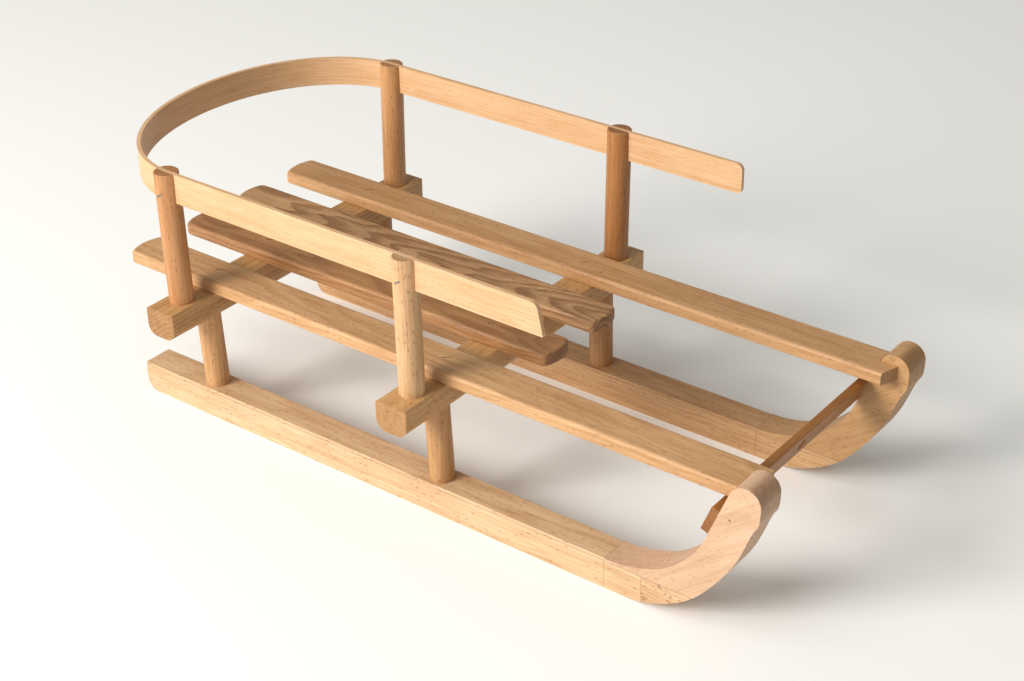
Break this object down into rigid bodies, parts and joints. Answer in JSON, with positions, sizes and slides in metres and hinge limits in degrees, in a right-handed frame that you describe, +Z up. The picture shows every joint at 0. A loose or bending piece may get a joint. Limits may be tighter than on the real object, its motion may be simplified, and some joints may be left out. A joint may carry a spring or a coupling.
{
  "type": "child's sledge",
  "caption": "Low wooden runner sledge with sawn horns, a slatted seat on dowel legs, a pull bar and a bent wooden rail round the back and sides.",
  "frame": {"origin": "centre of the bounding box in plan, on the ground under the runners", "axes": "+X forward towards the horns, +Y to the sitter's left, +Z up"},
  "size_m": [0.568, 0.285, 0.2059],
  "materials": {
    "runner_wood": "clear matt finish on planed beech",
    "dowel_wood": "clear matt finish on turned beech",
    "slat_wood": "clear matt finish on planed beech with rounded edges",
    "bent_strip": "clear matt finish on steam-bent strip",
    "bar_wood": "clear matt finish, a darker piece than the rest",
    "steel": "dull wire staples and brads"
  },
  "bodies": {
    "root": {"runner_beam_right": "runner_wood", "runner_beam_left": "runner_wood", "toe_block_right": "runner_wood", "toe_block_left": "runner_wood", "horn_right": "runner_wood", "horn_left": "runner_wood", "crossbar_rear": "runner_wood", "crossbar_front": "runner_wood", "leg_front_left": "dowel_wood", "leg_front_right": "dowel_wood", "leg_rear_left": "dowel_wood", "leg_rear_right": "dowel_wood", "post_front_left": "dowel_wood", "post_front_right": "dowel_wood", "post_rear_left": "dowel_wood", "post_rear_right": "dowel_wood", "backrest_rail": "bent_strip", "outer_slat_right": "slat_wood", "outer_slat_left": "slat_wood", "inner_slat_right": "slat_wood", "inner_slat_left": "slat_wood", "pull_bar": "bar_wood", "slat_staples": "steel", "rail_staples": "steel", "horn_nails": "steel"}
  },
  "joints": []
}
